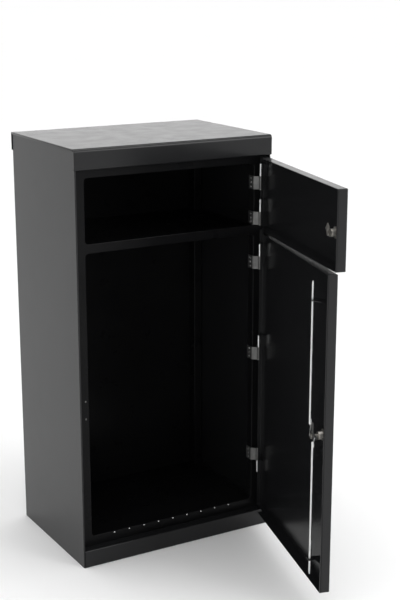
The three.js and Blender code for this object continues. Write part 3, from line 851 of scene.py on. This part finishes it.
# %% Cam and crank
def make_cam():
    """The cam is a strip folded twice, so it steps back past the frame before it reaches out."""
    centre = np.array(LOCKS["upper"])
    reach, width, sheet = 28, 12, 1.8
    base_w, arm_w, crank = 4.0, -6.3, 10.1  # middle of the metal, before and after the step
    lean = math.radians(40)
    up = np.array([-math.sin(lean), math.cos(lean)])
    over = np.array([math.cos(lean), math.sin(lean)])
    place = on_door("upper_door", "szw")

    def leaning(points):
        """u runs out along the arm, v is w, and t runs across the arm."""
        flat = centre + points[..., :1] * up + points[..., 2:] * over
        return place(np.concatenate([flat, points[..., 1:2]], -1))

    half = width / 2
    path = fold_path([[-half, base_w], [crank, base_w], [crank, arm_w], [reach, arm_w]], [1.9, 1.9], 6)
    strip = carried(thickened(path, sheet), -half, half, 0.5)
    piece("latch_cam", [shell(strip, leaning)], "upper_lock", "lock_zinc", ["upper_lock_cam"])
    nut = carried(bent(hexagon(centre, SPINDLE_NUT_FLATS), 0.8, 3), -0.7, 3.0, 0.6)
    piece("latch_cam_nut", [shell(nut, place)], "upper_lock", "lock_zinc", ["upper_cam_nut"])


CRANK_RADIUS = 16  # from the lower lock's axis to the pins


def make_crank():
    """A bar with round ends, a hub, a tongue that points up, and a pin at each end of the bar."""
    centre = np.array(LOCKS["lower"])
    half_bar, width, tongue_reach = 20, 9, 32
    place = on_door("lower_door", "szw")
    level = slot_outline((0, width / 2 - half_bar), 2 * half_bar - width / 2, width)[:, ::-1]
    bar = carried(level + centre, -4.7, -2.7, 0.35)
    hub = turned(rounded_bar(7, -7.2, -2.9, 0.5), centre)
    tongue = carried(slot_outline(centre, tongue_reach, width), -7.2, -5.4, 0.35)
    pins = [turned(rounded_bar(2.5, -7.3, -3.6), centre + [side * CRANK_RADIUS, 0], 24)
            for side in (-1, 1)]
    shells = [shell(rings, place) for rings in (bar, hub, tongue, *pins)]
    piece("rod_crank", shells, "lower_lock", "plain_steel", ["lower_lock_rotor"])
    nut = carried(bent(hexagon(centre, SPINDLE_NUT_FLATS), 0.8, 3), -11, -7.6, 0.6)
    piece("rod_crank_nut", [shell(nut, place)], "lower_lock", "lock_zinc", ["lower_rotor_nut"])


make_cam()
make_crank()
print("cam and crank: pins", CRANK_RADIUS, "mm from the axis")

# %% [markdown]
# ## Rods
#
# The rods are drawn bars with a tapered end that finds its hole in the frame. A flat link is
# welded to the other end and reaches to the crank's pin. The bar is turned and the link is a
# plate, and both go in one piece.

# %% Rods
def make_rod(name, node, body, s, pointing):
    """The bar on the axis (s, w), pointing up (1) or down (-1), and its link to the crank pin."""
    low, high = corner(node, 0)[2], corner(node, 1)[2]
    lock_s, lock_z = LOCKS["lower"]
    w, radius, point, half_link, overlap = -10.5, 3.0, 7.0, 4, 14
    inner = 424.0 if pointing > 0 else 391.0
    tip = high if pointing > 0 else low
    shoulder = tip - pointing * point
    welded = [[radius - 0.6, inner], [radius, inner + pointing * 0.6], [radius, inner + pointing * 1.4]]
    tapered = [[radius, shoulder - pointing], [radius, shoulder],
               [radius - 0.2, shoulder + pointing * 0.5], [1.5, tip - pointing * 0.3], [1.1, tip]]
    bar = shell(turned(welded + tapered, (s, w), 32), on_door("lower_door", "swz"))
    crank_s = lock_s + pointing * CRANK_RADIUS
    end, start = lock_z - pointing * half_link, inner + pointing * overlap
    left, right = s - half_link, s + half_link
    link = [[left, start], [left, inner], [crank_s - half_link, end], [crank_s + half_link, end],
            [right, inner], [right, start]]
    plate = shell(carried(bent(link, 1.6, 4), w + 0.8, w + 2.8, 0.35), on_door("lower_door", "szw"))
    return piece(name, [bar, plate], body, "bright_zinc", [node])


rods = [make_rod("rod_rising", "upper_rod", "rod_up", 57.0, 1),
        make_rod("rod_falling", "lower_rod", "rod_down", 38.0, -1)]
print("rods:", [rod.name for rod in rods])

# %% [markdown]
# ## Rivets and screws
#
# Small round heads hold the frame's sill, its left stile and the corner posts. One turned
# profile does for all of them: a low dome, r from the rim to the crown and t rising as a
# quarter ellipse.

# %% Small heads
def dome(radius, rise, base):
    """The profile of a low dome: r = R cos a, t = base + rise sin a."""
    angle = np.linspace(0, 0.46 * math.pi, 7)
    return np.stack([radius * np.cos(angle), base + rise * np.sin(angle)], -1)


def heads(name, centres, radius, rise, base, place, body, slot):
    """Domes of one size at the given (u, v) centres, as one piece."""
    shells = [shell(turned(dome(radius, rise, base), centre, 18), place) for centre in centres]
    return piece(name, shells, body, slot)


frame_low = corner("front_frame", 0)
sill = [(x, 62.6) for x in np.linspace(-163.4, 159.3, 9)]
heads("sill_rivets", sill, 2.3, -1.3, frame_low[1], laid("xzy"), "cabinet", "bright_zinc")
stile = [(-232.0, z) for z in (364.0, 407.0)]
heads("stile_screws", stile, 2.6, -1.3, frame_low[1], laid("xzy"), "cabinet", "plain_steel")
post_low = corner("rear_post_right", 0)
post_rivets = [(side * (post_low[0] + 10.5), z) for side in (-1, 1) for z in (250.0, 577.0, 777.0)]
heads("post_rivets", post_rivets, 2.6, -1.2, post_low[1], laid("xzy"), "cabinet", "black_inside")
print("heads:", len(sill), "on the sill,", len(stile), "on the stile,", len(post_rivets), "on the posts")

# %% [markdown]
# ## Parts that keep their shape
#
# Flat plates and hidden parts gain nothing from a new surface. They keep the one that the frame
# gives them and only take the same paint or plating as their neighbours.

# %% Finish for the parts that keep their own shape
kept = {
    "black_coat": ["base_pan", "upper_rod_guide", "lower_rod_guide"]
                  + [f"hinge_saddle_{number}" for number in range(1, 6)],
    "black_inside": ["back_panel"],
    "lock_zinc": ["upper_lock_plug", "lower_lock_plug"],
}
for slot, nodes in kept.items():
    for node in nodes:
        target = frame["nodes"][node]
        target.data.materials.clear()
        target.data.materials.append(finish_of[slot])
print("kept:", sum(len(nodes) for nodes in kept.values()), "parts")

# %% [markdown]
# ## Studio
#
# The floor is a flat pale disc, so wide that its rim is lost in the white of the surround. It
# is stage dressing and stays out of the part.

# %% Floor
def make_floor():
    """A disc of points R (cos a, sin a), wide enough that its rim is lost in the white."""
    sides, metres = 64, 90
    angle = np.arange(sides) * 2 * math.pi / sides
    rim = metres * np.stack([np.cos(angle), np.sin(angle), np.zeros(sides)], -1)
    mesh = bpy.data.meshes.new("floor")
    mesh.from_pydata(rim.tolist(), [], [list(range(sides))])
    made = bpy.data.objects.new("floor", mesh)
    bpy.context.scene.collection.objects.link(made)
    paint, shader, where = blank_material("pale floor")
    cloud = noise(paint, where, 1.5, 3)
    tone = mixed(paint, cloud, (0.87, 0.87, 0.87), (0.89, 0.89, 0.89))
    paint.node_tree.links.new(tone, shader.inputs["Base Color"])
    shader.inputs["Roughness"].default_value = 0.8
    mesh.materials.append(paint)
    return made


floor = make_floor()
print("floor:", [round(float(side), 1) for side in floor.dimensions], "m")

# %% [markdown]
# ## Light
#
# Black gloss paint shows only what it mirrors, so the surround matters more than the lamps. It
# is bright near the horizon, which the lid mirrors, and dim higher up. A large square lamp in
# front on the right lights the doors and the zinc, and a very soft lamp straight overhead keeps
# the floor white.

# %% Light
def area_light(name, place, aim, size, power):
    """A square lamp at `place` that faces the point `aim`."""
    lamp = bpy.data.lights.new(name, "AREA")
    lamp.size = size
    lamp.energy = power
    made = bpy.data.objects.new(name, lamp)
    made.location = place
    made.rotation_euler = (Vector(aim) - Vector(place)).to_track_quat("-Z", "Y").to_euler()
    bpy.context.scene.collection.objects.link(made)
    return made


def studio_world():
    """A surround that is bright up to `glow` and dim above `dusk`, both as sines of elevation."""
    glow, dusk, bright, dim = 0.34, 0.5, 1.25, 0.12
    made = bpy.data.worlds.new("soft studio")
    made.use_nodes = True
    nodes, links = made.node_tree.nodes, made.node_tree.links
    split = nodes.new("ShaderNodeSeparateXYZ")
    links.new(nodes.new("ShaderNodeTexCoord").outputs["Generated"], split.inputs["Vector"])
    fall = nodes.new("ShaderNodeMapRange")
    limits = {"From Min": glow, "From Max": dusk, "To Min": bright, "To Max": dim}
    for name, number in limits.items():
        fall.inputs[name].default_value = number
    links.new(split.outputs["Z"], fall.inputs["Value"])
    links.new(fall.outputs["Result"], nodes["Background"].inputs["Strength"])
    nodes["Background"].inputs["Color"].default_value = (1, 1, 1, 1)
    return made


bpy.context.scene.world = studio_world()
area_light("front panel", (2.1, -2.9, 2.6), (0, 0, 0.5), 2.4, 60)
overhead = bpy.data.lights.new("overhead", "SUN")
overhead.energy = 2.6
overhead.angle = math.radians(70)
bpy.context.scene.collection.objects.link(bpy.data.objects.new("overhead", overhead))
bpy.context.scene.view_settings.view_transform = "Standard"
print("lamps:", [lamp.name for lamp in bpy.data.lights])
